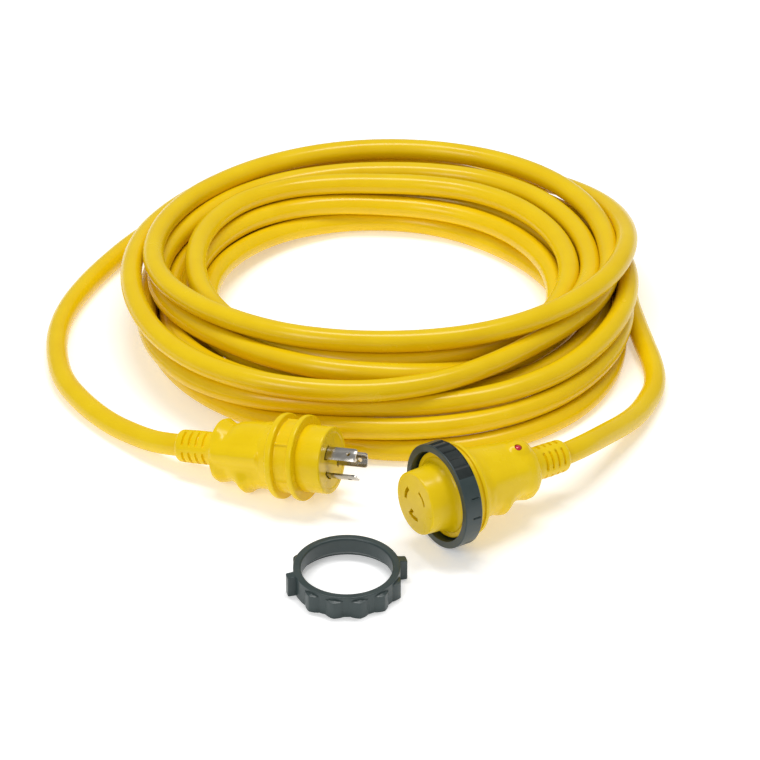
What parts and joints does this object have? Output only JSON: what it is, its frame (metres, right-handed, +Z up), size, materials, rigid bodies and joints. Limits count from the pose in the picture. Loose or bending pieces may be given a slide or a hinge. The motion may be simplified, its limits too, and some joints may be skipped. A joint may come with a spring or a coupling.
{
  "type": "shore power cord",
  "caption": "Coiled yellow shore power cord with a locking plug, a locking connector with a turning ring, and a loose locking ring for the plug.",
  "frame": {"origin": "on the floor under the middle of the plug, the connector and the loose ring", "axes": "+X from the plug to the connector, +Y from the two ends towards the coil, +Z up from the floor"},
  "size_m": [0.504, 0.6287, 0.0823],
  "materials": {
    "cable_jacket": "satin, slightly glossy",
    "housing_yellow": "moulded satin",
    "insert_yellow": "fine matte",
    "ring_black": "moulded satin",
    "blade_nickel": "nickel plated",
    "contact_brass": "stamped brass",
    "wire_black": "insulation",
    "wire_white": "insulation",
    "wire_green": "insulation",
    "lens_red": "clear red",
    "led_clear": "clear",
    "resistor_tan": "lacquered",
    "lead_tinned": "tinned wire"
  },
  "bodies": {
    "cord": {"plug_body": "housing_yellow", "plug_strain_relief": "housing_yellow", "plug_blade_carrier": "insert_yellow", "plug_line_blade": "blade_nickel", "plug_neutral_blade": "blade_nickel", "plug_ground_blade": "blade_nickel", "plug_line_wire": "wire_black", "plug_neutral_wire": "wire_white", "plug_ground_wire": "wire_green", "connector_body": "housing_yellow", "connector_strain_relief": "housing_yellow", "connector_contact_carrier": "insert_yellow", "connector_ring_retainer": "insert_yellow", "connector_line_contact": "contact_brass", "connector_neutral_contact": "contact_brass", "connector_ground_contact": "contact_brass", "connector_line_wire": "wire_black", "connector_neutral_wire": "wire_white", "connector_ground_wire": "wire_green", "indicator_lens": "lens_red", "indicator_led": "led_clear", "indicator_resistor": "resistor_tan", "indicator_line_lead": "lead_tinned", "indicator_neutral_lead": "lead_tinned", "indicator_resistor_lead": "lead_tinned", "cable_coil": "cable_jacket", "cable_plug_tail": "cable_jacket", "cable_connector_tail": "cable_jacket"},
    "turning_ring": {"connector_locking_ring": "ring_black"},
    "loose_ring": {"plug_locking_ring": "ring_black"}
  },
  "joints": [
    {"name": "locking_ring_turn", "type": "hinge", "parent": "cord", "child": "turning_ring", "pos_m": [0.05362, -0.00186, 0.04132], "axis": [-0.8388, -0.5426, 0.045], "continuous": true},
    {"name": "loose_ring_lift", "type": "slide", "parent": "cord", "child": "loose_ring", "axis": [0, 0, 1], "range_m": [0, 0.1]}
  ]
}
